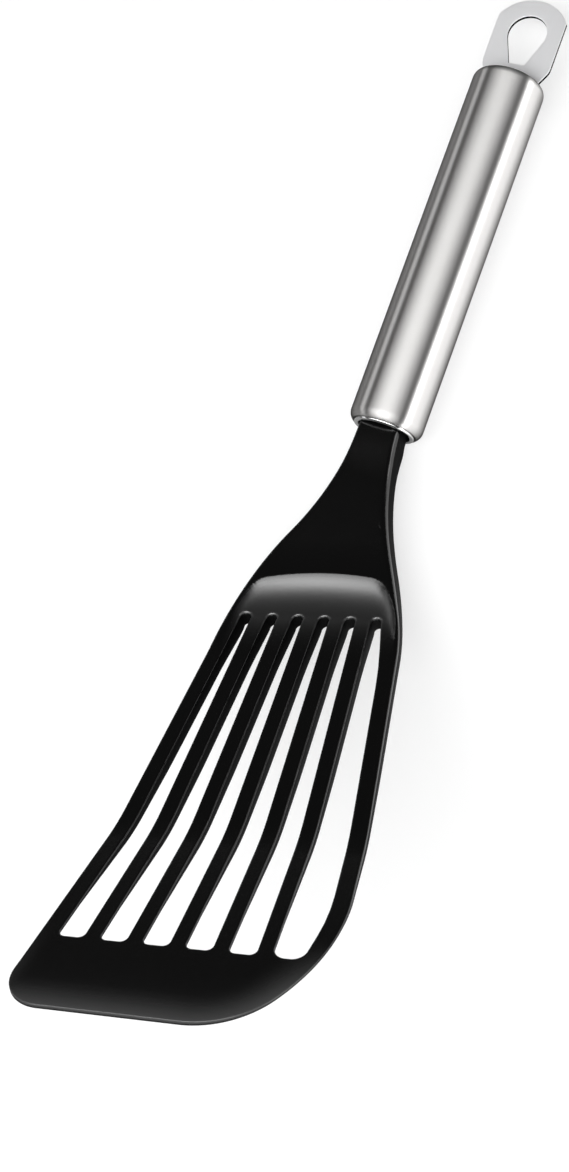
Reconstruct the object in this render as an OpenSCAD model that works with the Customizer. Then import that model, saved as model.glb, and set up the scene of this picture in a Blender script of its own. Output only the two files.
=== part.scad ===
// Slotted turner with a moulded nylon head, a round steel handle and a flat hanging tab.
// It lies with the handle level, the head pointing to -Y and the blade rising from the heel.

/* [Handle] */
// Outer diameter of the handle
handle_d = 22; // [20:0.5:26]
// Length from the mouth of the front collar to the rear face
handle_len = 114; // [100:1:160]
// Wall of the handle tube
tube_wall = 1; // [0.8:0.1:1.3]
// Radius of the turned-in front of the tube
front_round = 3.4; // [2.5:0.1:4]
// How far the front of the tube is turned in
front_lip = 1.5; // [1.3:0.1:1.8]

/* [Front collar] */
// Wall of the collar, between the neck and the tube
collar_wall = 1.65; // [1.2:0.05:2]
// Length of the collar, most of it inside the tube
collar_len = 8; // [5:0.5:14]
// Radius of the polished nose of the collar
collar_round = 0.8; // [0.4:0.1:1]

/* [End cap] */
// Length of the cap that shows behind the tube
cap_h = 4; // [3.2:0.1:8]
// Radius of the round shoulder of the cap
cap_round = 2.75; // [1:0.25:3]
// Thickness of the cap's rear wall
cap_wall = 1.6; // [1:0.1:2.4]
// Radius of the corner inside the cap
cap_corner = 1; // [0.5:0.1:1.5]
// Length of the cap's sleeve inside the tube
cap_sleeve_len = 6; // [3:0.5:12]
// Wall of the cap's sleeve
cap_sleeve_wall = 1.2; // [0.8:0.1:1.6]

/* [Hanging tab] */
// How far the tab's sides lie inside the handle's
tab_inset = 0.3; // [0:0.1:2]
// How far the tab stands out behind the handle
tab_len = 26.9; // [24:0.1:40]
// Thickness of the tab's sheet
tab_t = 1.3; // [0.8:0.1:2]
// How much the radius of the tab's round end is over half its width
tab_round_over = 1.8; // [0.4:0.1:3]
// Radius of the round part of the hanging eye
eye_r = 6; // [4:0.1:7]
// Distance from the rear face to the middle of the eye's round part
eye_at = 15; // [13:0.1:18]
// Distance from the rear face to the flat foot of the eye
eye_foot_at = 5.5; // [4:0.1:7]
// Width of the flat foot of the eye
eye_foot_w = 5; // [3:0.1:7]
// How far the tab's root lies inside the handle's sides
tab_root_inset = 2.7; // [2:0.1:3.1]
// Height over which the tab narrows to its root
tab_taper_len = 4.6; // [4:0.1:9]
// Distance from the sides of the tail to the wall of the cap's sleeve
tail_gap = 1.45; // [1:0.05:3]
// Length of the tail inside the handle
tail_len = 14; // [10:0.5:30]

/* [Tang and core] */
// Width of the steel tang
tang_w = 8; // [6:0.1:9.6]
// Thickness of the steel tang
tang_t = 2.5; // [1.5:0.1:3]
// How far the tang reaches into the neck
tang_front = 36; // [20:1:38]
// How far the tang reaches into the handle
tang_rear = 66; // [40:1:72]
// Diameter of the holes in the tang that the nylon locks into
lock_hole_d = 4; // [2:0.5:5]
// Length of the core that holds the tang in the tube
core_len = 58; // [58:1:66]
// Diameter of the cross pins
pin_d = 3; // [2:0.1:4]
// Distance from the ends of the core's pins to the tube
pin_end_gap = 1; // [0.2:0.1:2]
// Distance from the ends of the tab's pin to the wall of the cap's sleeve
tab_pin_end_gap = 2.2; // [0.5:0.1:3]

/* [Neck] */
// Depth of the flats on the sides of the neck's shank
neck_side_cut = 1.65; // [0.5:0.05:2.5]
// Depth of the flats above and below on the neck's shank
neck_top_cut = 2; // [1:0.05:2.5]
// Thickness of the neck ahead of its root
neck_t = 8.6; // [6:0.1:10]
// Distance from the collar to the corner where the neck starts to flare
flare_at = 18.8; // [14:0.1:24]
// Radius of the flare
flare_round = 79; // [40:1:90]
// Length of the shank behind the collar's mouth
shank_len = 12; // [8:0.5:13]

/* [Blade] */
// Distance from the collar to the heel line, where the blade starts to rise
heel_at = 50; // [46:0.5:60]
// Height of the blade's face over the handle axis at the heel line
heel_rise = 1; // [0:0.1:2]
// Turn of the head to the side, seen from above
skew = 13.5; // [0:0.5:16]
// Rise of the blade over the handle axis
pitch = 30; // [20:0.5:35]
// Further rise of the front of the blade
tip_pitch = 11; // [0:0.5:16]
// Length along the face from the heel line to the bend
bend_at = 88; // [80:1:100]
// Radius of the bend
bend_round = 60; // [20:1:80]
// Length along the face from the heel line to the edge
blade_len = 154; // [146:1:170]
// Half width at the left shoulder
left_shoulder = 25.5; // [24:0.1:28]
// Length along the face to the left shoulder
left_shoulder_at = 1.2; // [-4:0.1:6]
// Radius of the left shoulder
left_shoulder_round = 68; // [20:1:70]
// Half width at the right shoulder
right_shoulder = 26.3; // [24:0.1:28]
// Length along the face to the right shoulder
right_shoulder_at = 16; // [10:0.5:20]
// Radius of the right shoulder
right_shoulder_round = 93; // [40:1:100]
// Half width at the left end of the edge
left_tip = 39.9; // [36:0.1:42]
// Radius of the left corner of the edge
left_round = 10.5; // [4:0.5:14]
// Half width at the corner where the edge turns into its slanted right end
edge_corner = 20.3; // [14:0.1:22]
// Radius of that corner
edge_corner_round = 24; // [10:0.5:25]
// Half width at the corner between the slanted end and the right side
right_corner = 38.1; // [36:0.1:42]
// Length along the face to that corner
right_corner_at = 127; // [122:0.5:132]
// Radius of that corner
right_corner_round = 54; // [30:1:56]

/* [Thickness] */
// Thickness at the heel line
heel_t = 4.9; // [4:0.1:6]
// Thickness where the bars are thickest
mid_t = 3.9; // [3:0.1:4.5]
// Length along the face to that place
mid_at = 65; // [50:1:75]
// Thickness where the thin front starts
front_t = 1.1; // [0.8:0.1:2]
// Length along the face to that place
front_at = 118; // [105:1:124]
// Thickness at the edge
edge_t = 0.6; // [0.4:0.1:1]
// Radius of the concave run from the neck to the blade
crook_round = 75; // [40:1:90]
// Radius under the heel
heel_round = 25; // [10:1:30]
// Radius of the run under the bars
under_round = 200; // [50:10:300]
// Radius of the run from the bars to the thin front
thin_round = 40; // [20:1:80]

/* [Scoop] */
// Radius of the rear edge of the scoop's flat floor, seen square to the blade
scoop_floor_r = 141; // [60:1:200]
// Length along the face to the rearmost place of that edge
scoop_floor_at = 9.2; // [7:0.1:9.6]
// Distance of that place from the middle of the blade
scoop_middle = 2; // [-4:0.5:6]
// Radius of the ramp that climbs out of the scoop
ramp_round = 13.4; // [10:0.2:16]
// Slope at the end of the ramp
ramp_slope = 60; // [54:1:70]
// Half width of the scoop at its left rear corner
scoop_left = 17.6; // [16:0.1:19]
// Length along the face to that corner
scoop_left_at = -4; // [-5:0.1:-3]
// Half width of the scoop at its right rear corner
scoop_right = 16.2; // [14:0.1:18]
// Length along the face to that corner
scoop_right_at = -2; // [-4:0.1:-1]
// Radius of that corner
scoop_corner_round = 8; // [4:0.5:10]
// Half width of the scoop where its sides turn to run along the blade's sides
scoop_side = 21.4; // [20:0.1:22.5]
// Length along the face to that place
scoop_side_at = 6.7; // [5:0.1:9]
// Radius of that turn
scoop_side_round = 30; // [10:1:40]
// Width of the rim that is left beside the scoop ahead of it
rim_w = 3.5; // [2:0.1:4]

/* [Slots] */
// Number of narrow slots
narrow_slots = 5; // [3:1:5]
// Distance from the heel line back to the point that the slots fan out from
fan_back = 258; // [220:1:320]
// Angle of the leftmost slot
first_angle = -4.33; // [-4.6:0.01:-4]
// Angle from one slot to the next
slot_step = 1.635; // [1.4:0.005:1.66]
// Length along the face to the top of the slots
slot_top = 10; // [9:0.5:16]
// Length along the face to the bottom of the slots
slot_bottom = 130.5; // [112:0.5:134]
// Width of a narrow slot at its top
slot_top_w = 3.4; // [2.5:0.1:3.8]
// Width of a narrow slot at its bottom
slot_bottom_w = 7.1; // [5:0.1:7.6]
// Radius of the corners at the bottom of a narrow slot
slot_corner = 1.8; // [0.5:0.1:2.4]
// Width of the bar left of the wide slot at its top
wide_bar_top = 4.4; // [3:0.1:5]
// Width of the bar left of the wide slot at its bottom
wide_bar_bottom = 3.9; // [3:0.1:5]
// Width of the wide slot at its top
wide_top_w = 2.7; // [2:0.1:4]
// Width of the wide slot at its bottom
wide_bottom_w = 7.5; // [5:0.1:8]
// Width of the right bar between the wide slot and the right side
right_bar_w = 4.8; // [3.5:0.1:6]
// Length along the face from which the wide slot runs along the right side
wide_from = 28; // [24:1:40]
// Length along the face to which it does
wide_to = 115; // [100:1:118]
// Radius where the wide slot comes to the right side
wide_from_round = 150; // [20:10:160]
// Radius where the wide slot leaves it
wide_to_round = 60; // [20:1:80]

/* [Fits] */
// Clearance of pieces that are pressed, bonded or welded together
fit_gap = 0.05; // [0.02:0.01:0.1]
// Clearance of the neck in the collar
neck_gap = 0.1; // [0.05:0.05:0.3]

/* [Hidden] */
$fn = 64;

// Cuts reach this far past the faces that they open
over = 1;
// Blocks that keep or cut a whole side reach this far
far = 2 * blade_len;
// Largest turn of one step along a rounded corner
arc_step = 8;
// Steps along the ramp of the scoop
ramp_steps = 8;
// Share of the core's length, from either end, at which a pin sits
pin_share = 0.25;
// Shares of the tang's reach into the neck at which its lock holes sit
lock_shares = [0.75, 0.35];
// Share of a slot's width that its rounded end takes on either side
end_share = 0.46;
// Length of the round shank that shows ahead of the collar
shank_show = 3;
// Shares of the distance to the flare between which the neck thins
thin_shares = [0.15, 0.9];
// Radius at both ends of the neck's thinning
thin_bend = 10;
// Radius of the collar's edges inside the tube
collar_edge = 0.3;
// Thickness of the edge of the tube's turned-in front
lip_edge = 0.2;

handle_r = handle_d / 2;
tube_r = handle_r - tube_wall;
tube_mouth_r = handle_r - front_lip;
collar_r = tube_mouth_r - fit_gap;
collar_bore_r = collar_r - collar_wall;
shank_r = collar_bore_r - neck_gap;
neck_w = 2 * (shank_r - neck_side_cut);
neck_h = 2 * (shank_r - neck_top_cut);
core_at = shank_len + over;
pin_front_at = core_at + core_len * pin_share;
pin_rear_at = tang_rear - core_len * pin_share;
pin_len = 2 * (tube_r - pin_end_gap);
cap_at = handle_len - cap_h;
cap_inside = handle_len - cap_wall;
cap_bore_r = tube_r - fit_gap - cap_sleeve_wall;
tab_w = handle_d - 2 * tab_inset;
tab_root_w = handle_d - 2 * tab_root_inset;
tab_round = tab_w / 2 + tab_round_over;
tail_w = 2 * (cap_bore_r - tail_gap);
tab_pin_at = cap_inside - fit_gap - pin_d / 2;
tab_pin_len = 2 * (cap_bore_r - tab_pin_end_gap);
lock_holes = [for (share = lock_shares) -tang_front * share];

// Rounded outlines

function flat_point(p) = [p[0], p[1]];
function side(a, b) = flat_point(b) - flat_point(a);
function unit(v) = v / norm(v);

// Length of each side that the radius of corner i would take, if there is room
function wanted_reach(points, i) =
    let (
        n = len(points),
        p = points[i % n],
        back = unit(side(p, points[(i + n - 1) % n])),
        on = unit(side(p, points[(i + 1) % n]))
    )
    p[2] == 0 ? 0 : p[2] / tan(acos(back * on) / 2);

// Share of its radius that corner i can have beside its neighbour j
function room(points, i, j) =
    let (
        n = len(points),
        length = norm(side(points[i % n], points[j % n])),
        both = wanted_reach(points, i) + wanted_reach(points, j)
    )
    both > length ? length / both : 1;

// Arc that replaces corner p of an outline, between its neighbours a and b
function corner(a, p, b, r) =
    let (
        middle = flat_point(p),
        to_a = unit(side(p, a)),
        to_b = unit(side(p, b)),
        half = acos(to_a * to_b) / 2,
        centre = middle + unit(to_a + to_b) * r / sin(half),
        start = middle + to_a * r / tan(half) - centre,
        turn = (to_a[0] * to_b[1] - to_a[1] * to_b[0] > 0 ? -1 : 1) * (180 - 2 * half),
        steps = ceil(abs(turn) / arc_step),
        from = atan2(start[1], start[0])
    )
    [for (i = [0:steps]) centre + r * [cos(from + turn * i / steps), sin(from + turn * i / steps)]];

// Outline through points [x, y, radius], each corner with its radius, limited by its sides
function rounded(points) =
    let (n = len(points))
    [
        for (i = [0:n - 1])
            each points[i][2] == 0
                ? [flat_point(points[i])]
                : corner(
                    points[(i + n - 1) % n], points[i], points[(i + 1) % n],
                    points[i][2] * min(room(points, i, i + n - 1), room(points, i, i + 1))
                )
    ];

// The head's own frame: across the blade, and forward from the heel line

// Point beside the handle axis, given across and forward of the collar, seen in the head's frame
function beside_axis(x, forward) =
    let (ahead = forward - heel_at)
    [x * cos(skew) - ahead * sin(skew), x * sin(skew) + ahead * cos(skew)];

// Lengths along the face at which the concave run from the neck to the blade starts and ends
neck_top = neck_t / 2 - heel_rise;
neck_bottom = -neck_t / 2 - heel_rise;
crook_reach = crook_round * tan(pitch / 2);
crook_end = neck_top / sin(pitch) + crook_reach;
crook_start = crook_end - crook_round * pitch * PI / 180;
// The same start seen from above
crook_start_seen = neck_top / tan(pitch) - crook_reach;

// Distance seen from above at length b along the face
function seen_at(b) =
    b < crook_start
        ? b - crook_start + crook_start_seen
        : b < crook_end
            ? crook_start_seen + crook_round * sin((b - crook_start) / crook_round * 180 / PI)
            : b * cos(pitch);

// Point of the neck with its length along the face
function laid_flat(p, r) = [p[0], p[1] - crook_start_seen + crook_start, r];

function seen_from_above(p) = [p[0], -seen_at(p[1])];

// Point seen square to the rising blade
function seen_square(p) =
    [p[0], -(p[1] < bend_at ? p[1] : bend_at + (p[1] - bend_at) * cos(tip_pitch))];

// Outline of the whole head, laid flat
head_outline = rounded([
    laid_flat(beside_axis(-neck_w / 2, over), 0),
    laid_flat(beside_axis(-neck_w / 2, flare_at), flare_round),
    [-left_shoulder, left_shoulder_at, left_shoulder_round],
    [-left_tip, blade_len, left_round],
    [edge_corner, blade_len, edge_corner_round],
    [right_corner, right_corner_at, right_corner_round],
    [right_shoulder, right_shoulder_at, right_shoulder_round],
    laid_flat(beside_axis(neck_w / 2, flare_at), flare_round),
    laid_flat(beside_axis(neck_w / 2, over), 0)
]);

function left_side(b) =
    -left_shoulder
    - (left_tip - left_shoulder) * (b - left_shoulder_at) / (blade_len - left_shoulder_at);
function right_side(b) =
    right_shoulder
    + (right_corner - right_shoulder) * (b - right_shoulder_at) / (right_corner_at - right_shoulder_at);

// Point of the side profile at length b along the face and depth t under it
function profile_point(b, t) =
    b < bend_at
        ? [b * cos(pitch) + t * sin(pitch), b * sin(pitch) - t * cos(pitch)]
        : [
            bend_at * cos(pitch) + (b - bend_at) * cos(pitch + tip_pitch) + t * sin(pitch + tip_pitch),
            bend_at * sin(pitch) + (b - bend_at) * sin(pitch + tip_pitch) - t * cos(pitch + tip_pitch)
        ];
bend_t = mid_t + (front_t - mid_t) * (bend_at - mid_at) / (front_at - mid_at);
heel_under = (neck_bottom + heel_t / cos(pitch)) / tan(pitch);
profile_back = heel_at + handle_d;

// Side profile as [forward, up, radius] from the heel line
side_profile = rounded([
    [-profile_back, neck_top, 0],
    [neck_top / tan(pitch), neck_top, crook_round],
    concat(profile_point(bend_at, 0), bend_round),
    concat(profile_point(blade_len, 0), 0),
    concat(profile_point(blade_len, edge_t), 0),
    concat(profile_point(front_at, front_t), thin_round),
    concat(profile_point(bend_at, bend_t), bend_round),
    concat(profile_point(mid_at, mid_t), under_round),
    [heel_under, neck_bottom, heel_round],
    [-profile_back, neck_bottom, 0]
]);

// The object's box, from the head's outline and the tab, which sets the origin under its middle
function beside(p) =
    let (
        ahead = p[1] < crook_end ? seen_at(p[1]) : profile_point(p[1], 0)[0],
        x = p[0] * cos(skew) + ahead * sin(skew),
        y = p[0] * sin(skew) - ahead * cos(skew) - heel_at
    )
    [x, y];
seen_outline = [for (p = head_outline) beside(p)];
head_left = min([for (p = seen_outline) p[0]]);
head_right = max([for (p = seen_outline) p[0]]);
head_front = min([for (p = seen_outline) p[1]]);
middle_x = (head_left + head_right) / 2;
middle_y = (head_front + handle_len + tab_len) / 2;

// Moves from the handle's frame, with its axis at zero, to the part's frame
module in_place() {
    translate([-middle_x, -middle_y, handle_r]) children();
}

// Turns what is built along +Z to lie along the handle, towards its rear
module along_handle() {
    rotate([-90, 0, 0]) children();
}

// The head's frame, with x across the blade, -Y forward and the heel line at zero
module at_heel() {
    translate([0, -heel_at, heel_rise]) rotate([0, 0, skew]) children();
}

// Extrudes a profile of [forward, up] points across the head
module across(width) {
    translate([-width / 2, 0, 0]) rotate([90, 0, 90]) linear_extrude(width) children();
}

// Bar along the handle from y0 to y1
module bar(w, t, y0, y1) {
    translate([-w / 2, y0, -t / 2]) cube([w, y1 - y0, t]);
}

module cross_pin(y, length) {
    translate([0, y, -length / 2]) cylinder(d = pin_d, h = length);
}

// Hole for a cross pin through a piece of thickness t
module pin_hole(y, t) {
    translate([0, y, -t]) cylinder(d = pin_d + 2 * fit_gap, h = 2 * t);
}

module tang_shape(gap) {
    difference() {
        bar(tang_w + 2 * gap, tang_t + 2 * gap, -tang_front - gap, tang_rear + gap);
        for (y = lock_holes)
            translate([0, y, -tang_t]) cylinder(d = lock_hole_d - 2 * gap, h = 2 * tang_t);
    }
}

function fan(angle, b) = (b + fan_back) * tan(angle);

// Outline of a narrow slot as [across, along] points, from its top to its bottom
function narrow_slot(i) =
    let (
        angle = first_angle + i * slot_step,
        top = fan(angle, slot_top),
        bottom = fan(angle, slot_bottom)
    )
    rounded([
        [top - slot_top_w / 2, slot_top, slot_top_w * end_share],
        [bottom - slot_bottom_w / 2, slot_bottom, slot_corner],
        [bottom + slot_bottom_w / 2, slot_bottom, slot_corner],
        [top + slot_top_w / 2, slot_top, slot_top_w * end_share]
    ]);
last_angle = first_angle + (narrow_slots - 1) * slot_step;
wide_left_top = fan(last_angle, slot_top) + slot_top_w / 2 + wide_bar_top;
wide_left_bottom = fan(last_angle, slot_bottom) + slot_bottom_w / 2 + wide_bar_bottom;
wide_slot = rounded([
    [wide_left_top, slot_top, wide_top_w * end_share],
    [wide_left_bottom, slot_bottom, wide_bottom_w * end_share],
    [wide_left_bottom + wide_bottom_w, slot_bottom, wide_bottom_w * end_share],
    [right_side(wide_to) - right_bar_w, wide_to, wide_to_round],
    [right_side(wide_from) - right_bar_w, wide_from, wide_from_round],
    [wide_left_top + wide_top_w, slot_top, wide_top_w * end_share]
]);

// Extrudes an outline square to the blade, through it and far over it
module square_to_blade(points) {
    translate([0, 0, -far / 2]) linear_extrude(far) polygon([for (p = points) seen_square(p)]);
}

module slots() {
    for (outline = concat([for (i = [0:narrow_slots - 1]) narrow_slot(i)], [wide_slot]))
        square_to_blade(outline);
}

// Bowl that is cut from the blade's face under the neck
module scoop() {
    climb = 4 * neck_t;
    ramp_end = scoop_floor_r + ramp_round * sin(ramp_slope);
    bowl = concat(
        [[0, 0]],
        [
            for (i = [0:ramp_steps])
                [
                    scoop_floor_r + ramp_round * sin(ramp_slope * i / ramp_steps),
                    ramp_round * (1 - cos(ramp_slope * i / ramp_steps))
                ]
        ],
        [[ramp_end + climb / tan(ramp_slope), climb], [0, climb]]
    );
    // The scoop's sides run on to where the concave run is long over
    sides_end = 2 * crook_end;
    inside = rounded([
        [-scoop_left, scoop_left_at, 0],
        [-scoop_side, scoop_side_at, scoop_side_round],
        [left_side(sides_end) + rim_w, sides_end, 0],
        [right_side(sides_end) - rim_w, sides_end, 0],
        [scoop_side, scoop_side_at, scoop_side_round],
        [scoop_right, scoop_right_at, scoop_corner_round]
    ]);
    intersection() {
        translate([scoop_middle, -scoop_floor_at - scoop_floor_r, 0]) rotate_extrude() polygon(bowl);
        square_to_blade(inside);
    }
}

module head_blank() {
    at_heel() intersection() {
        across(far) polygon([for (p = side_profile) [-p[0], p[1]]]);
        union() {
            // The sides are cut upright as far as the concave run goes
            difference() {
                translate([0, 0, -far / 2])
                    linear_extrude(far) polygon([for (p = head_outline) seen_from_above(p)]);
                rotate([-pitch, 0, 0])
                    translate([-far / 2, -crook_end - far, -far / 2]) cube(far);
            }
            // Beyond it they are cut square to the blade
            rotate([-pitch, 0, 0]) intersection() {
                square_to_blade(head_outline);
                translate([-far / 2, over - crook_end - far, -far / 2]) cube(far);
            }
        }
    }
}

// Round shank in the collar, and the root that thins to the neck
module neck_root() {
    thick_at = -thin_shares[0] * flare_at;
    thin_at = -thin_shares[1] * flare_at;
    intersection() {
        along_handle()
            translate([0, 0, -flare_at]) cylinder(r = shank_r, h = flare_at + shank_len);
        translate([-neck_w / 2, 0, 0])
            rotate([90, 0, 90])
                linear_extrude(neck_w)
                    polygon(rounded([
                        [shank_len, neck_h / 2, 0],
                        [shank_len, -neck_h / 2, 0],
                        [thick_at, -neck_h / 2, thin_bend],
                        [thin_at, -neck_t / 2, thin_bend],
                        [-flare_at, -neck_t / 2, 0],
                        [-flare_at, neck_t / 2, 0],
                        [thin_at, neck_t / 2, thin_bend],
                        [thick_at, neck_h / 2, thin_bend]
                    ]));
    }
}

module turner_head() {
    color([0.05, 0.05, 0.055]) in_place() difference() {
        union() {
            intersection() {
                head_blank();
                // The flat neck starts ahead of the collar
                translate([-far / 2, -shank_show - far, -far / 2]) cube(far);
            }
            neck_root();
        }
        at_heel() rotate([-pitch, 0, 0]) scoop();
        at_heel() rotate([-pitch, 0, 0]) slots();
        tang_shape(fit_gap);
    }
}

module tang() {
    color([0.72, 0.72, 0.74]) in_place() difference() {
        tang_shape(0);
        for (y = [pin_front_at, pin_rear_at])
            pin_hole(y, tang_t);
    }
}

module tang_core() {
    color([0.75, 0.75, 0.72]) in_place() difference() {
        along_handle() translate([0, 0, core_at]) cylinder(r = tube_r - fit_gap, h = core_len);
        bar(tang_w + 2 * fit_gap, tang_t + 2 * fit_gap, 0, tang_rear + fit_gap);
        for (y = [pin_front_at, pin_rear_at])
            pin_hole(y, handle_r);
    }
}

module core_pin_front() {
    color([0.6, 0.6, 0.62]) in_place() cross_pin(pin_front_at, pin_len);
}

module core_pin_rear() {
    color([0.6, 0.6, 0.62]) in_place() cross_pin(pin_rear_at, pin_len);
}

module front_collar() {
    color([0.85, 0.85, 0.87]) in_place() along_handle() rotate_extrude() polygon(rounded([
        [collar_bore_r, 0, collar_round / 2],
        [collar_r, 0, collar_round],
        [collar_r, collar_len, collar_edge],
        [collar_bore_r, collar_len, collar_edge]
    ]));
}

module handle_tube() {
    // Radius and turn at which the turned-in front ends, and its distance from the mouth plane
    lip_r = tube_mouth_r + lip_edge;
    lip_turn = acos((lip_r - handle_r + front_round) / front_round);
    lip_at = front_round * (1 - sin(lip_turn));
    lip_steps = ceil(lip_turn / arc_step);
    front = [
        for (i = [0:lip_steps])
            [
                handle_r - front_round + front_round * cos(lip_turn * i / lip_steps),
                front_round * (1 - sin(lip_turn * i / lip_steps))
            ]
    ];
    color([0.78, 0.78, 0.8]) in_place() along_handle() rotate_extrude() polygon(concat(
        [[handle_r, cap_at]],
        front,
        [
            [tube_mouth_r, lip_at + lip_edge],
            [tube_mouth_r, front_round / 2],
            [tube_r, front_round],
            [tube_r, cap_at]
        ]
    ));
}

module end_cap() {
    color([0.78, 0.78, 0.8]) in_place() difference() {
        along_handle() rotate_extrude() polygon(rounded([
            [0, handle_len, 0],
            [0, cap_inside, 0],
            [cap_bore_r, cap_inside, cap_corner],
            [cap_bore_r, cap_at - cap_sleeve_len, 0],
            [tube_r - fit_gap, cap_at - cap_sleeve_len, 0],
            [tube_r - fit_gap, cap_at, 0],
            [handle_r, cap_at, 0],
            [handle_r, handle_len, cap_round]
        ]));
        bar(tail_w + 2 * fit_gap, tab_t + 2 * fit_gap, cap_at, handle_len + over);
    }
}

module hang_tab() {
    top = handle_len + tab_len;
    round_middle = top - tab_round;
    side_turn = acos(tab_w / 2 / tab_round);
    top_steps = ceil((180 - 2 * side_turn) / arc_step);
    top_arc = [
        for (i = [0:top_steps])
            let (a = side_turn + (180 - 2 * side_turn) * i / top_steps)
            [tab_round * cos(a), round_middle + tab_round * sin(a)]
    ];
    sheet = concat(
        [
            [-tail_w / 2, handle_len - tail_len],
            [tail_w / 2, handle_len - tail_len],
            [tail_w / 2, handle_len],
            [tab_root_w / 2, handle_len],
            [tab_w / 2, handle_len + tab_taper_len]
        ],
        top_arc,
        [
            [-tab_w / 2, handle_len + tab_taper_len],
            [-tab_root_w / 2, handle_len],
            [-tail_w / 2, handle_len]
        ]
    );
    // The eye's sides run from its foot to touch its round part
    eye_middle = handle_len + eye_at;
    foot_drop = eye_at - eye_foot_at;
    foot_far = norm([eye_foot_w / 2, foot_drop]);
    touch = acos(eye_r / foot_far) - atan2(foot_drop, eye_foot_w / 2);
    eye_sides = [
        [-eye_foot_w / 2, handle_len + eye_foot_at],
        [eye_foot_w / 2, handle_len + eye_foot_at],
        [eye_r * cos(touch), eye_middle + eye_r * sin(touch)],
        [0, eye_middle],
        [-eye_r * cos(touch), eye_middle + eye_r * sin(touch)]
    ];
    color([0.82, 0.82, 0.84]) in_place() difference() {
        translate([0, 0, -tab_t / 2]) linear_extrude(tab_t) polygon(sheet);
        translate([0, eye_middle, -tab_t]) cylinder(r = eye_r, h = 2 * tab_t);
        translate([0, 0, -tab_t]) linear_extrude(2 * tab_t) polygon(eye_sides);
        pin_hole(tab_pin_at, tab_t);
    }
}

module tab_pin() {
    color([0.6, 0.6, 0.62]) in_place() cross_pin(tab_pin_at, tab_pin_len);
}

turner_head();
tang();
tang_core();
core_pin_front();
core_pin_rear();
front_collar();
handle_tube();
end_cap();
hang_tab();
tab_pin();
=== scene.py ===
"""Slotted turner: black moulded head, brushed round handle, polished collar, flat hanging tab."""

import math

import bmesh
import bpy
import numpy as np
from mathutils import Matrix, Vector


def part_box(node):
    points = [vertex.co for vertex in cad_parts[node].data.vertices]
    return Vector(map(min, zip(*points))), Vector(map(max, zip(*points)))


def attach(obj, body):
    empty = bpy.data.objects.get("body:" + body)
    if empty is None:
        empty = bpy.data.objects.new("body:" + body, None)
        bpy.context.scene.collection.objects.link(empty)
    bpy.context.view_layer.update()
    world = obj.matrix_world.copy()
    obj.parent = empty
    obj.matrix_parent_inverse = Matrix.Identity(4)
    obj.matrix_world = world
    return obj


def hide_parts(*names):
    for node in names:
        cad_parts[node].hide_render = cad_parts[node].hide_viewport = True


MM = 0.001

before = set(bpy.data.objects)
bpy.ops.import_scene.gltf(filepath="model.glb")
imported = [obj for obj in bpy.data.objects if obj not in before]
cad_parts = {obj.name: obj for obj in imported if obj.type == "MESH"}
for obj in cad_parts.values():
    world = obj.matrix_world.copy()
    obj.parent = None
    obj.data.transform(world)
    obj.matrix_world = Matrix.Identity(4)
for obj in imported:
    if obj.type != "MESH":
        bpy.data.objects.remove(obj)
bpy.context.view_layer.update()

# The handle's axis and the mouth of its front collar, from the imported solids
tube_low, tube_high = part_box("handle_tube")
collar_low, collar_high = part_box("front_collar")
cap_low, cap_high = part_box("end_cap")
tab_low, tab_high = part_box("hang_tab")
MOUTH = Vector(((tube_low.x + tube_high.x) / 2, collar_low.y, (tube_low.z + tube_high.z) / 2))
HANDLE_R = (tube_high.x - tube_low.x) / 2 / MM
HANDLE_LEN = (cap_high.y - MOUTH.y) / MM
TAB_LEN = (tab_high.y - cap_high.y) / MM
CAP_AT = (tube_high.y - MOUTH.y) / MM
COLLAR_LEN = (collar_high.y - MOUTH.y) / MM
COLLAR_R = (collar_high.x - collar_low.x) / 2 / MM

# The head, in millimetres and degrees
HEEL_AT = 50
HEEL_RISE = 1
SKEW = math.radians(13.5)
PITCH = math.radians(30)
TIP_PITCH = math.radians(11)
CROOK_ROUND = 75
BEND_AT = 88
BEND_ROUND = 60
BLADE_LEN = 154
TIP_CURL = math.radians(4)
NECK_W = 12.1
NECK_TOP = 3.3
NECK_T = 8.6
SHANK_LEN = 12
SHANK_R = 7.7
CAP_ROUND = 2.75


# Outlines


def rounded(points, step=6):
    """Outline through (x, y, radius), each corner replaced by its arc."""
    outline = []
    for i, (x, y, radius) in enumerate(points):
        middle = np.array((x, y), float)
        if radius == 0:
            outline.append(middle)
            continue
        to_a = np.array(points[i - 1][:2], float) - middle
        to_b = np.array(points[(i + 1) % len(points)][:2], float) - middle
        to_a /= np.linalg.norm(to_a)
        to_b /= np.linalg.norm(to_b)
        half = math.acos(np.clip(to_a @ to_b, -1, 1)) / 2
        centre = middle + (to_a + to_b) / np.linalg.norm(to_a + to_b) * radius / math.sin(half)
        start = middle + to_a * radius / math.tan(half) - centre
        side = -1 if to_a[0] * to_b[1] - to_a[1] * to_b[0] > 0 else 1
        turn = side * (math.pi - 2 * half)
        steps = max(2, math.ceil(abs(math.degrees(turn)) / step))
        first = math.atan2(start[1], start[0])
        for k in range(steps + 1):
            angle = first + turn * k / steps
            outline.append(centre + radius * np.array((math.cos(angle), math.sin(angle))))
    return np.array(outline)


def divided(outline, longest):
    """The closed outline with its long sides divided evenly."""
    points = []
    for here, there in zip(outline, np.roll(outline, -1, axis=0)):
        parts = max(1, math.ceil(np.linalg.norm(there - here) / longest))
        points += [here + (there - here) * k / parts for k in range(parts)]
    return np.array(points)


def smooth(x, low, high):
    """Runs from 0 at low to 1 at high, level at both ends."""
    t = np.clip((x - low) / (high - low), 0, 1)
    return t * t * (3 - 2 * t)


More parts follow.
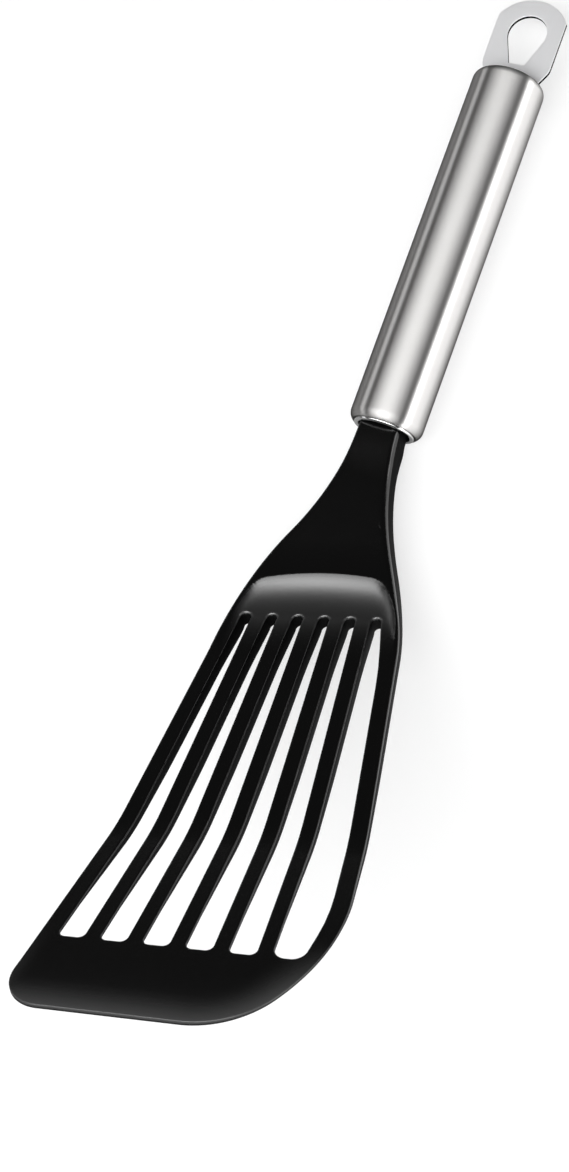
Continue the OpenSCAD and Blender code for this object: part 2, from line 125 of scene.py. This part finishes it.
def distance_to(outlines, points):
    """Distance of each flat point from the nearest side of the closed outlines."""
    nearest = np.full(len(points), np.inf)
    for outline in outlines:
        for a, b in zip(outline, np.roll(outline, -1, axis=0)):
            along = np.clip((points - a) @ (b - a) / max((b - a) @ (b - a), 1e-12), 0, 1)
            gap = points - a - along[:, None] * (b - a)
            nearest = np.minimum(nearest, np.einsum("ij,ij->i", gap, gap))
    return np.sqrt(nearest)


# Side of the head: the face runs level along the neck, bends up in the crook and again near the tip


ALONG = np.linspace(-75, 160, 4701)
CROOK_END = NECK_TOP / math.sin(PITCH) + CROOK_ROUND * math.tan(PITCH / 2)
CROOK_START = CROOK_END - CROOK_ROUND * PITCH
BEND_START = BEND_AT - BEND_ROUND * math.tan(TIP_PITCH / 2)
RISE = np.clip((ALONG - CROOK_START) / CROOK_ROUND, 0, PITCH)
RISE += np.clip((ALONG - BEND_START) / BEND_ROUND, 0, TIP_PITCH)
RISE += TIP_CURL * np.clip((ALONG - BLADE_LEN + 18) / 18, 0, 1)


def face_line():
    """Forward and up of the face at each step of ALONG, with the blade on a plane through the heel line."""
    step = ALONG[1] - ALONG[0]
    rise = (RISE[1:] + RISE[:-1]) / 2
    forward = np.concatenate([[0], np.cumsum(np.cos(rise)) * step])
    up = np.concatenate([[0], np.cumsum(np.sin(rise)) * step])
    middle = (CROOK_END + BEND_START) / 2
    forward += middle * math.cos(PITCH) - np.interp(middle, ALONG, forward)
    up += middle * math.sin(PITCH) - np.interp(middle, ALONG, up)
    return forward, up


FORWARD, UP = face_line()


def at(along, values):
    return np.interp(along, ALONG, values)


def profile_point(along, depth):
    """Forward and up of a point under the straight parts of the face."""
    rise = PITCH if along < BEND_AT else PITCH + TIP_PITCH
    base = min(along, BEND_AT)
    past = along - base
    return (
        base * math.cos(PITCH) + past * math.cos(rise) + depth * math.sin(rise),
        base * math.sin(PITCH) + past * math.sin(rise) - depth * math.cos(rise),
    )


NECK_BOTTOM = NECK_TOP - NECK_T
HEEL_T = 4.9
BACK = rounded(
    [
        (-150, NECK_BOTTOM, 0),
        ((NECK_BOTTOM + HEEL_T / math.cos(PITCH)) / math.tan(PITCH), NECK_BOTTOM, 25),
        (*profile_point(65, 3.9), 200),
        (*profile_point(BEND_AT + 0.001, 2.67), 60),
        (*profile_point(118, 1.1), 40),
        (*profile_point(BLADE_LEN + 20, 0.5), 0),
    ],
    step=1,
)


def depth_of_back(along):
    """Depth of the back under the face, square to the face."""
    rise = at(along, RISE)
    out = BACK - (at(along, FORWARD), at(along, UP))
    ahead = out @ (math.cos(rise), math.sin(rise))
    under = out @ (math.sin(rise), -math.cos(rise))
    cross = np.flatnonzero(np.diff(np.sign(ahead)) != 0)
    i = cross[np.argmin(abs(under[cross]))]
    share = ahead[i] / (ahead[i] - ahead[i + 1])
    return under[i] + share * (under[i + 1] - under[i])


DEPTH_AT = np.linspace(-70, 156, 453)
DEPTH = np.array([depth_of_back(along) for along in DEPTH_AT])


# Plan of the head, laid flat: across, and along the face from the heel line


def beside_axis(x, forward):
    ahead = forward - HEEL_AT
    level_start = NECK_TOP / math.tan(PITCH) - CROOK_ROUND * math.tan(PITCH / 2)
    return (
        x * math.cos(SKEW) - ahead * math.sin(SKEW),
        x * math.sin(SKEW) + ahead * math.cos(SKEW) + CROOK_START - level_start,
    )


SHOULDER = (26.3, 16)
CORNER = (38.1, 127)
HEAD_OUTLINE = rounded(
    [
        (*beside_axis(-NECK_W / 2, -SHANK_LEN), 0),
        (*beside_axis(-NECK_W / 2, 18.8), 81),
        (-25.5, 1.4, 66),
        (-39.9, BLADE_LEN, 10.5),
        (20.3, BLADE_LEN, 24),
        (*CORNER, 54),
        (*SHOULDER, 90),
        (*beside_axis(NECK_W / 2, 18.1), 81),
        (*beside_axis(NECK_W / 2, -SHANK_LEN), 0),
    ],
    step=2,
)

SLOT_TOP = 10
SLOT_BOTTOM = 130.2
SLOT_TOP_W = 3.1
SLOT_BOTTOM_W = 6.95
FAN_BACK = 258
SLOT_ANGLES = [math.radians(-4.33 + 1.635 * i) for i in range(5)]


def narrow_slot(angle):
    top = (SLOT_TOP + FAN_BACK) * math.tan(angle) - 0.05
    bottom = (SLOT_BOTTOM + FAN_BACK) * math.tan(angle)
    top_round = SLOT_TOP_W * 0.48
    return rounded(
        [
            (top - SLOT_TOP_W / 2, SLOT_TOP, top_round),
            (bottom - SLOT_BOTTOM_W / 2, SLOT_BOTTOM, 1.8),
            (bottom + SLOT_BOTTOM_W / 2, SLOT_BOTTOM, 1.8),
            (top + SLOT_TOP_W / 2, SLOT_TOP, top_round),
        ],
        step=12,
    )


def inside_right(along, bar=4.8):
    """Across of the wide slot's right side, a bar's width inside the head's."""
    share = (along - SHOULDER[1]) / (CORNER[1] - SHOULDER[1])
    return SHOULDER[0] + (CORNER[0] - SHOULDER[0]) * share - bar


def wide_slot():
    return rounded(
        [
            (16.44, SLOT_TOP, 1.25),
            (22.44, SLOT_BOTTOM, 3.4),
            (29.9, SLOT_BOTTOM, 3.4),
            (inside_right(115), 115, 60),
            (inside_right(28), 28, 150),
            (19.1, SLOT_TOP, 1.25),
        ],
        step=6,
    )


# Scoop that is cut into the face under the neck


SCOOP_FLOOR = 9.2
SCOOP_FLOOR_R = 141
SCOOP_MIDDLE = 2
RAMP_ROUND = 13.4
COVE_STEEPNESS = 0.17


def hollow(out, radius):
    """Height of a hollow quarter round, nought where out is nought, and steep past its end."""
    within = np.minimum(out, radius * 0.99)
    return radius - np.sqrt(radius**2 - within**2) + 20 * (out - within)


def softer_high(a, b, reach):
    """The higher of two heights, blended where they are closer than reach."""
    mix = np.clip(0.5 + (a - b) / (2 * reach), 0, 1)
    return b + (a - b) * mix + reach * mix * (1 - mix)


def scoop_height(across, forward):
    """Height of the scooped surface over the blade's plane."""
    from_floor = np.hypot(across - SCOOP_MIDDLE, forward - SCOOP_FLOOR - SCOOP_FLOOR_R) - SCOOP_FLOOR_R
    past_left = -across - 14.6 - 0.3 * forward
    past_right = across - 13.3 - 0.4 * forward
    past_side = COVE_STEEPNESS * np.maximum(np.maximum(past_left, past_right), 0) ** 2
    return hollow(np.hypot(np.maximum(from_floor, 0), past_side), RAMP_ROUND)


def scoop_depth(across, along):
    """Depth of the scooped surface under the face, square to the face, found by halving."""
    tilt = PITCH - at(along, RISE)
    forward = at(along, FORWARD) * math.cos(PITCH) + at(along, UP) * math.sin(PITCH)
    over = at(along, UP) * math.cos(PITCH) - at(along, FORWARD) * math.sin(PITCH)
    low, high = np.full(len(along), -9.0), np.full(len(along), 9.0)
    for _ in range(22):
        depth = (low + high) / 2
        floor_height = scoop_height(across, forward - depth * np.sin(tilt))
        above = over - depth * np.cos(tilt) > floor_height
        low, high = np.where(above, depth, low), np.where(above, high, depth)
    return low


def flat_blank(outlines, rings, across_cuts, along_cuts):
    """Flat sheet inside the first outline and outside the others, with narrow rings along its edges."""
    bm = bmesh.new()
    for outline in outlines:
        verts = [bm.verts.new((x, y, 0)) for x, y in outline]
        for a, b in zip(verts, verts[1:] + verts[:1]):
            bm.edges.new((a, b))
    bmesh.ops.triangle_fill(bm, edges=bm.edges[:], use_beauty=True, normal=(0, 0, 1))
    inner = bm.faces[:]
    for width in rings:
        bmesh.ops.inset_region(
            bm, faces=inner, thickness=width, use_boundary=True, use_even_offset=True
        )
    for normal, places in (((1, 0, 0), across_cuts), ((0, 1, 0), along_cuts)):
        for place in places:
            bmesh.ops.bisect_plane(
                bm,
                geom=bm.verts[:] + bm.edges[:] + bm.faces[:],
                dist=0.01,
                plane_co=[n * place for n in normal],
                plane_no=normal,
            )
    for face in bm.faces:
        if face.normal.z < 0:
            face.normal_flip()
    bmesh.ops.solidify(bm, geom=bm.faces[:], thickness=1)
    wall = bm.faces.layers.float.new("wall")
    for face in bm.faces:
        face[wall] = 1 if abs(face.normal.z) < 0.5 else 0
    return bm


def finish_piece(name, bm, material, node):
    """Turns the finished bmesh into a smooth piece that stands for a CAD node."""
    mesh = bpy.data.meshes.new(name)
    for face in bm.faces:
        face.smooth = True
    bm.to_mesh(mesh)
    bm.free()
    piece = bpy.data.objects.new(name, mesh)
    bpy.context.scene.collection.objects.link(piece)
    mesh.materials.append(material)
    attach(piece, "root")
    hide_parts(node)
    return piece


def turner_head(material):
    outlines = [divided(HEAD_OUTLINE, 2)]
    outlines += [divided(narrow_slot(angle), 2) for angle in SLOT_ANGLES]
    outlines.append(divided(wide_slot(), 2))
    rows = [(-66, -14, 1.5), (-14, -6, 0.8), (-6, 0, 0.25), (0, 12, 0.4), (12, 28, 0.8)]
    rows += [(28, 82, 2.5), (82, 95, 0.9), (95, 153, 2.5)]
    bm = flat_blank(
        outlines,
        rings=[0.1, 0.18, 0.28, 0.4, 0.5],
        across_cuts=np.arange(-38, 38, 1.2),
        along_cuts=np.concatenate([np.arange(*row) for row in rows]),
    )
    co = np.array([v.co for v in bm.verts])
    across, along, face_side = co[:, 0], co[:, 1], abs(co[:, 2]) < 0.5
    edge = distance_to(outlines, co[:, :2])
    outer_edge = distance_to(outlines[:1], co[:, :2])
    forward, up, rise = (at(along, values) for values in (FORWARD, UP, RISE))
    top = np.zeros(len(co))
    near = (along > -12) & (along < 26)
    soften = 0.02 + 0.2 * smooth(along[near], 22, 8)
    top[near] = softer_high(scoop_depth(across[near], along[near]), 0, soften)
    bottom = np.interp(along, DEPTH_AT, DEPTH)
    # The heel is thicker round the slots' tops
    heel = smooth(along, -2, 6) * (1 - smooth(along, 6, 30)) * smooth(outer_edge, 2, 4)
    bottom = bottom + 1.3 * heel
    # The neck swells to its root at the collar
    before_mouth = HEEL_AT - across * math.sin(SKEW) + forward * math.cos(SKEW)
    root = 1 - smooth(before_mouth, 0, 15)
    top = top - 0.9 * root
    bottom = bottom + 1.9 * root
    edge_round = np.interp(along, [-10, 10, 65, 118, 154], [0.9, 0.8, 0.6, 0.35, 0.15])
    neck_round = np.interp(before_mouth, [10, 25, 45, 62], [2.2, 2, 1.4, 0])
    right_top = face_side & (across * math.cos(SKEW) + forward * math.sin(SKEW) > 0)
    edge_round = np.where(right_top, np.maximum(edge_round, neck_round), edge_round)
    slot_round = 0.5 + 0.6 * (1 - smooth(along, 10.6, 12.2))
    edge_round = np.where(edge < outer_edge - 0.01, np.minimum(edge_round, slot_round), edge_round)
    edge_round = np.minimum(edge_round, 0.45 * (bottom - top))
    in_edge = np.clip(edge_round - edge, 0, None)
    drop = edge_round - np.sqrt(np.clip(edge_round**2 - in_edge**2, 0, None))
    depth = np.where(face_side, top + drop, bottom - drop)
    forward = forward + depth * np.sin(rise)
    up = up - depth * np.cos(rise) + HEEL_RISE
    x = across * math.cos(SKEW) + forward * math.sin(SKEW)
    y = across * math.sin(SKEW) - forward * math.cos(SKEW) - HEEL_AT
    place = np.stack([x, y, up], axis=1)
    # The shank is round where it enters the collar
    in_collar = smooth(-y, 5, 0.5)
    radius = np.hypot(x, up)
    held = np.where(radius > SHANK_R, SHANK_R / np.maximum(radius, 1e-6), 1)
    place[:, 0] *= 1 + (held - 1) * in_collar
    place[:, 2] *= 1 + (held - 1) * in_collar
    # Painted sheen: the colour is lighter over the front edge's last 10 mm
    from_front = np.where(across > 0, outer_edge, np.minimum(BLADE_LEN - along, outer_edge + 5))
    front_sheen = np.clip(1 - from_front / 10, 0, 1) ** 2 * smooth(along, 122, 146)
    slot_lip = (1 - smooth(along, 10.2, 11.2)) * (1 - smooth(edge, 1, 1.4)) * (edge < outer_edge - 0.01)
    layers = {
        bm.verts.layers.float.new("scooped"): np.maximum(np.clip(top / 1.5, 0, 1), 0.85 * slot_lip) * face_side,
        bm.verts.layers.float.new("painted_sheen"): front_sheen * face_side,
    }
    bm.verts.ensure_lookup_table()
    for i, where in enumerate(place):
        bm.verts[i].co = MOUTH + Vector(where) * MM
        for layer, values in layers.items():
            bm.verts[i][layer] = values[i]
    bmesh.ops.recalc_face_normals(bm, faces=bm.faces[:])
    return finish_piece("head_moulding", bm, material, "turner_head")


def turned(profile, steps=180):
    """Ring or shell spun round the handle's axis from a closed (radius, along) outline."""
    bm = bmesh.new()
    verts = [bm.verts.new((r * MM, y * MM, 0)) for r, y in profile]
    edges = [bm.edges.new(pair) for pair in zip(verts, verts[1:] + verts[:1])]
    bmesh.ops.spin(
        bm,
        geom=verts + edges,
        cent=(0, 0, 0),
        axis=(0, 1, 0),
        angle=2 * math.pi,
        steps=steps,
        use_merge=True,
    )
    bmesh.ops.remove_doubles(bm, verts=bm.verts[:], dist=1e-6)
    bmesh.ops.translate(bm, verts=bm.verts[:], vec=MOUTH)
    bmesh.ops.recalc_face_normals(bm, faces=bm.faces[:])
    return bm


def handle_tube(material):
    front_round = 3.4
    lip_r = HANDLE_R - 1.3
    turns = np.linspace(0, math.acos((lip_r - HANDLE_R + front_round) / front_round), 14)
    front = [
        (HANDLE_R - front_round * (1 - math.cos(t)), front_round * (1 - math.sin(t))) for t in turns
    ]
    lip_y = front[-1][1]
    profile = (
        [(HANDLE_R, CAP_AT - gap) for gap in (0.02, 0.06, 1)]
        + [(HANDLE_R, y) for y in np.linspace(CAP_AT - 4, front_round + 1, 20)]
        + front
        + [(lip_r - 0.1, lip_y + 0.02), (lip_r - 0.2, lip_y + 0.18)]
        + [(lip_r - 0.2, front_round / 2), (HANDLE_R - 1, front_round), (HANDLE_R - 1, CAP_AT - 0.02)]
    )
    return finish_piece("tube_shell", turned(profile), material, "handle_tube")


def front_collar(material):
    bore = 7.8
    shown_r = COLLAR_R - 0.3
    profile = rounded(
        [
            (bore, 0, 0.4),
            (shown_r, 0, 0.5),
            (shown_r, 2.5, 0),
            (COLLAR_R, 3, 0),
            (COLLAR_R, COLLAR_LEN, 0.3),
            (bore, COLLAR_LEN, 0.3),
        ],
        step=10,
    )
    return finish_piece("collar_ring", turned(profile), material, "front_collar")


def end_cap(material):
    sleeve_r = (cap_high.x - cap_low.x) / 2 / MM - 1.05
    profile = rounded(
        [
            (0, HANDLE_LEN, 0),
            (0, HANDLE_LEN - 1.6, 0),
            (sleeve_r - 1.2, HANDLE_LEN - 1.6, 1),
            (sleeve_r - 1.2, CAP_AT - 6, 0),
            (sleeve_r, CAP_AT - 6, 0),
            (sleeve_r, CAP_AT, 0),
            (HANDLE_R, CAP_AT, 0),
            (HANDLE_R, CAP_AT + 0.04, 0),
            (HANDLE_R, HANDLE_LEN - CAP_ROUND - 0.1, 0),
            (HANDLE_R, HANDLE_LEN, CAP_ROUND),
            (HANDLE_R - CAP_ROUND - 0.1, HANDLE_LEN, 0),
        ],
        step=6,
    )
    bm = turned(profile)
    # Painted shade: the cap's rounding towards its end is marked to be coloured darker
    rim_shade = bm.faces.layers.float.new("wall")
    for face in bm.faces:
        face[rim_shade] = min(max((face.normal.y - 0.08) * 2, 0), 1)
    return finish_piece("cap_shell", bm, material, "end_cap")


def hang_tab(material):
    half_w = (tab_high.x - tab_low.x) / 2 / MM
    half_t = (tab_high.z - tab_low.z) / 2 / MM
    top_round = 12.5
    top = HANDLE_LEN + TAB_LEN
    side_turn = math.acos(half_w / top_round)
    arc = [
        (top_round * math.cos(a), top - top_round + top_round * math.sin(a))
        for a in np.linspace(side_turn, math.pi - side_turn, 36)
    ]
    tail = 7.3
    shoulder = rounded(
        [(tail, HANDLE_LEN, 0), (8.3, HANDLE_LEN, 0), (half_w, HANDLE_LEN + 4.6, 5), (half_w, top, 0)]
    )[1:-1]
    sheet = np.array(
        [(-tail, HANDLE_LEN - 14), (tail, HANDLE_LEN - 14), (tail, HANDLE_LEN)]
        + list(shoulder)
        + arc
        + list(shoulder[::-1] * (-1, 1))
        + [(-tail, HANDLE_LEN)]
    )
    eye_r, eye_y, foot_y, foot = 6, HANDLE_LEN + 15.6, HANDLE_LEN + 5.5, 2.5
    drop = eye_y - foot_y
    touch = math.acos(eye_r / math.hypot(foot, drop)) - math.atan2(drop, foot)
    eye = [(-foot, foot_y), (foot, foot_y)]
    eye += [
        (eye_r * math.cos(a), eye_y + eye_r * math.sin(a))
        for a in np.linspace(touch, math.pi - touch, 48)
    ]
    outlines = [divided(sheet, 2), divided(np.array(eye), 1.5)]
    along_cuts = np.arange(HANDLE_LEN - 12, top, 2.5)
    bm = flat_blank(outlines, [0.04, 0.06, 0.08], np.arange(-10, 11, 2.5), along_cuts)
    co = np.array([v.co for v in bm.verts])
    edge = distance_to(outlines, co[:, :2])
    soft = 0.15
    inside = np.clip(soft - edge, 0, None)
    drop = soft - np.sqrt(np.clip(soft**2 - inside**2, 0, None))
    side = np.where(abs(co[:, 2]) < 0.5, 1, -1)
    for vert, sign, low in zip(bm.verts, side, drop):
        vert.co = MOUTH + Vector((vert.co.x, vert.co.y, sign * (half_t - low))) * MM
    bmesh.ops.recalc_face_normals(bm, faces=bm.faces[:])
    return finish_piece("tab_plate", bm, material, "hang_tab")


# Materials


def surface(name, color, roughness, metallic=0.0):
    material = bpy.data.materials.new(name)
    material.use_nodes = True
    shader = material.node_tree.nodes["Principled BSDF"]
    shader.inputs["Base Color"].default_value = (*color, 1)
    shader.inputs["Roughness"].default_value = roughness
    shader.inputs["Metallic"].default_value = metallic
    return material, material.node_tree, shader


def noise(tree, stretch, scale, detail=3.0):
    coords = tree.nodes.new("ShaderNodeTexCoord")
    mapping = tree.nodes.new("ShaderNodeMapping")
    mapping.inputs["Scale"].default_value = stretch
    texture = tree.nodes.new("ShaderNodeTexNoise")
    texture.inputs["Scale"].default_value = scale
    texture.inputs["Detail"].default_value = detail
    tree.links.new(coords.outputs["Object"], mapping.inputs["Vector"])
    tree.links.new(mapping.outputs["Vector"], texture.inputs["Vector"])
    return texture.outputs["Fac"]


def ranged(tree, value, low, high):
    remap = tree.nodes.new("ShaderNodeMapRange")
    remap.inputs["To Min"].default_value = low
    remap.inputs["To Max"].default_value = high
    tree.links.new(value, remap.inputs["Value"])
    return remap.outputs["Result"]


def attribute(tree, name):
    reader = tree.nodes.new("ShaderNodeAttribute")
    reader.attribute_name = name
    return reader.outputs["Fac"]


def mixed(tree, factor, value, other):
    mix = tree.nodes.new("ShaderNodeMix")
    mix.inputs["B"].default_value = other
    tree.links.new(factor, mix.inputs["Factor"])
    tree.links.new(value, mix.inputs["A"])
    return mix.outputs["Result"]


def shaded(tree, factor, color, least):
    """The colour, times least where the factor is 1."""
    mix = tree.nodes.new("ShaderNodeMixRGB")
    mix.inputs["Color1"].default_value = (*color, 1)
    mix.inputs["Color2"].default_value = (*[least * c for c in color], 1)
    tree.links.new(factor, mix.inputs["Fac"])
    return mix.outputs["Color"]


def bumped(tree, shader, height, distance, strength=1.0):
    bump = tree.nodes.new("ShaderNodeBump")
    bump.inputs["Distance"].default_value = distance
    bump.inputs["Strength"].default_value = strength
    tree.links.new(height, bump.inputs["Height"])
    tree.links.new(bump.outputs["Normal"], shader.inputs["Normal"])


def black_nylon():
    material, tree, shader = surface("black_nylon", (0.001, 0.001, 0.001), 0.19)
    grain = noise(tree, (1, 1, 1), 1400, 2)
    patches = noise(tree, (1, 1, 1), 60, 4)
    # The walls and the scoop's ramp are left rough from the mould
    wall = attribute(tree, "wall")
    scooped = attribute(tree, "scooped")
    painted_sheen = attribute(tree, "painted_sheen")
    polish = mixed(tree, scooped, ranged(tree, patches, 0.17, 0.21), 0.42)
    tree.links.new(mixed(tree, wall, polish, 0.75), shader.inputs["Roughness"])
    shine = mixed(tree, wall, ranged(tree, scooped, 0.5, 1), 0.08)
    tree.links.new(shine, shader.inputs["Specular IOR Level"])
    tree.links.new(ranged(tree, scooped, 1.5, 1.75), shader.inputs["IOR"])
    # Painted sheen: the base colour is lighter towards the front edge
    tree.links.new(shaded(tree, painted_sheen, (0.001, 0.001, 0.001), 72), shader.inputs["Base Color"])
    bumped(tree, shader, grain, 0.00003, 0.5)
    return material


def brushed_steel():
    material, tree, shader = surface("brushed_steel", (0.72, 0.71, 0.7), 0.4, 1.0)
    shader.inputs["Anisotropic"].default_value = 1
    # Painted shade: the dark edge tint darkens the steel towards its outline
    shader.inputs["Specular Tint"].default_value = (0.08, 0.08, 0.08, 1)
    along_handle = tree.nodes.new("ShaderNodeCombineXYZ")
    along_handle.inputs["Y"].default_value = 1
    tree.links.new(along_handle.outputs["Vector"], shader.inputs["Tangent"])
    scratches = noise(tree, (8, 900, 8), 6, 4)
    tree.links.new(ranged(tree, scratches, 0.35, 0.45), shader.inputs["Roughness"])
    # Painted shade: the colour is darker on the end cap's rounding
    rim_shade = shaded(tree, attribute(tree, "wall"), (0.72, 0.71, 0.7), 0.3)
    tree.links.new(rim_shade, shader.inputs["Base Color"])
    bumped(tree, shader, scratches, 0.00001, 0.6)
    return material


def polished_steel():
    material, tree, shader = surface("polished_steel", (0.75, 0.75, 0.75), 0.08, 1.0)
    smears = noise(tree, (1, 1, 1), 300, 3)
    tree.links.new(ranged(tree, smears, 0.06, 0.14), shader.inputs["Roughness"])
    return material


def stamped_steel():
    material, tree, shader = surface("stamped_steel", (0.97, 0.97, 0.98), 0.6, 0.75)
    # Painted shade: the dark edge tint darkens the tab towards its outline
    shader.inputs["Specular Tint"].default_value = (0.1, 0.1, 0.1, 1)
    grain = noise(tree, (60, 900, 60), 4, 3)
    tree.links.new(ranged(tree, grain, 0.57, 0.65), shader.inputs["Roughness"])
    # Painted shade: the tab's walls are coloured nearly black and shine little
    wall = attribute(tree, "wall")
    tree.links.new(shaded(tree, wall, (0.97, 0.97, 0.98), 0.01), shader.inputs["Base Color"])
    tree.links.new(ranged(tree, wall, 0.5, 0.05), shader.inputs["Specular IOR Level"])
    bumped(tree, shader, grain, 0.00001, 0.4)
    return material


def bare_steel():
    material, tree, shader = surface("bare_steel", (0.5, 0.5, 0.51), 0.4, 1.0)
    tree.links.new(ranged(tree, noise(tree, (1, 1, 1), 200), 0.35, 0.5), shader.inputs["Roughness"])
    return material


def pale_nylon():
    material, tree, shader = surface("pale_nylon", (0.7, 0.68, 0.62), 0.5)
    tree.links.new(ranged(tree, noise(tree, (1, 1, 1), 200), 0.45, 0.6), shader.inputs["Roughness"])
    return material


# Stage


def floor():
    bm = bmesh.new()
    bmesh.ops.create_grid(bm, x_segments=1, y_segments=1, size=1.5)
    mesh = bpy.data.meshes.new("floor")
    bm.to_mesh(mesh)
    bm.free()
    ground = bpy.data.objects.new("floor", mesh)
    bpy.context.scene.collection.objects.link(ground)
    material, tree, shader = surface("pale_floor", (0.36, 0.36, 0.36), 0.9)
    shader.inputs["Specular IOR Level"].default_value = 0.1
    path = tree.nodes.new("ShaderNodeLightPath")
    coords = tree.nodes.new("ShaderNodeTexCoord")
    split = tree.nodes.new("ShaderNodeSeparateXYZ")
    tree.links.new(coords.outputs["Object"], split.inputs["Vector"])
    # Painted reflection: for glossy rays the floor's colour is darker and it glows, so that mirrored in the
    # steel the floor is brighter to the right of the handle
    glow = tree.nodes.new("ShaderNodeMapRange")
    glow.inputs["From Min"].default_value = MOUTH.x + 0.008
    glow.inputs["From Max"].default_value = MOUTH.x + 0.032
    glow.inputs["To Min"].default_value = 0.12
    glow.inputs["To Max"].default_value = 1.3
    tree.links.new(split.outputs["X"], glow.inputs["Value"])

    def calculated(operation, a, b):
        node = tree.nodes.new("ShaderNodeMath")
        node.operation = operation
        tree.links.new(a, node.inputs[0])
        if isinstance(b, float):
            node.inputs[1].default_value = b
        else:
            tree.links.new(b, node.inputs[1])
        return node.outputs[0]

    seen = calculated("MAXIMUM", path.outputs["Is Camera Ray"], path.outputs["Is Transmission Ray"])
    mirrored = calculated("MULTIPLY", path.outputs["Is Glossy Ray"], glow.outputs["Result"])
    lift = calculated("MAXIMUM", calculated("MULTIPLY", seen, 0.65), mirrored)
    # Painted reflection: the floor's colour is darker for glossy rays
    dim = shaded(tree, path.outputs["Is Glossy Ray"], (0.36, 0.36, 0.36), 0.6)
    tree.links.new(dim, shader.inputs["Base Color"])
    shader.inputs["Emission Color"].default_value = (1, 1, 1, 1)
    tree.links.new(lift, shader.inputs["Emission Strength"])
    mesh.materials.append(material)


def softbox(name, roll, tilt, distance, width, height, power):
    """Area light that is roll degrees to the right of straight up and tilts towards the head's end."""
    roll, tilt = math.radians(roll), math.radians(tilt)
    away = Vector(
        (math.sin(roll) * math.cos(tilt), -math.sin(tilt), math.cos(roll) * math.cos(tilt))
    )
    light = bpy.data.lights.new(name, "AREA")
    light.shape = "RECTANGLE"
    light.size = width
    light.size_y = height
    light.energy = power
    lamp = bpy.data.objects.new(name, light)
    bpy.context.scene.collection.objects.link(lamp)
    middle = MOUTH + Vector((0, 0, 0.02))
    side = Vector((0, 1, 0)).cross(away).normalized()
    turn = Matrix((side, away.cross(side), away)).transposed()
    lamp.matrix_world = Matrix.Translation(middle + away * distance) @ turn.to_4x4()
    lamp.visible_camera = False


def camera():
    yaw, pitch, roll = map(math.radians, (22.5, 9.507, 20.177))
    away = Vector(
        (math.sin(yaw) * math.cos(pitch), -math.sin(pitch), math.cos(yaw) * math.cos(pitch))
    )
    up = (Vector((0, 1, 0)) - away * away.y).normalized()
    right = up.cross(away)
    turned_right = math.cos(roll) * right + math.sin(roll) * up
    turned_up = -math.sin(roll) * right + math.cos(roll) * up
    eye = bpy.data.cameras.new("camera")
    eye.sensor_fit = "VERTICAL"
    eye.sensor_height = 24
    eye.lens = 24 * 2000 / 1172
    holder = bpy.data.objects.new("camera", eye)
    bpy.context.scene.collection.objects.link(holder)
    aim = MOUTH + Vector((-12.307, -51.44, 0)) * MM
    turn = Matrix((turned_right, turned_up, away)).transposed()
    holder.matrix_world = Matrix.Translation(aim + away * 0.57164) @ turn.to_4x4()
    bpy.context.scene.camera = holder


def light_room():
    world = bpy.data.worlds.new("room")
    world.use_nodes = True
    world.node_tree.nodes["Background"].inputs["Color"].default_value = (1, 1, 1, 1)
    world.node_tree.nodes["Background"].inputs["Strength"].default_value = 0.07
    bpy.context.scene.world = world
    # Nested panels give the key light its soft sides
    for i, (width, power) in enumerate([(2.9, 10.5), (2.16, 7.3), (1.44, 5.3), (0.78, 2.5)]):
        softbox(f"key_softbox_{i}", 3, 25, 1.2 + 0.01 * i, width, 0.8, power)
    softbox("right_softbox", 84, 5, 1.0, 0.33, 1.4, 6)
    softbox("left_softbox", -74, 5, 1.0, 0.28, 1.4, 1.2)


steel = brushed_steel()
nylon = black_nylon()
inner_steel = bare_steel()
turner_head(nylon)
handle_tube(steel)
front_collar(polished_steel())
end_cap(steel)
hang_tab(stamped_steel())
for node, material in {
    "tang": inner_steel,
    "tang_core": pale_nylon(),
    "core_pin_front": inner_steel,
    "core_pin_rear": inner_steel,
    "tab_pin": inner_steel,
}.items():
    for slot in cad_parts[node].material_slots:
        slot.link = "OBJECT"
        slot.material = material
floor()
light_room()
camera()
bpy.context.scene.view_settings.view_transform = "Standard"
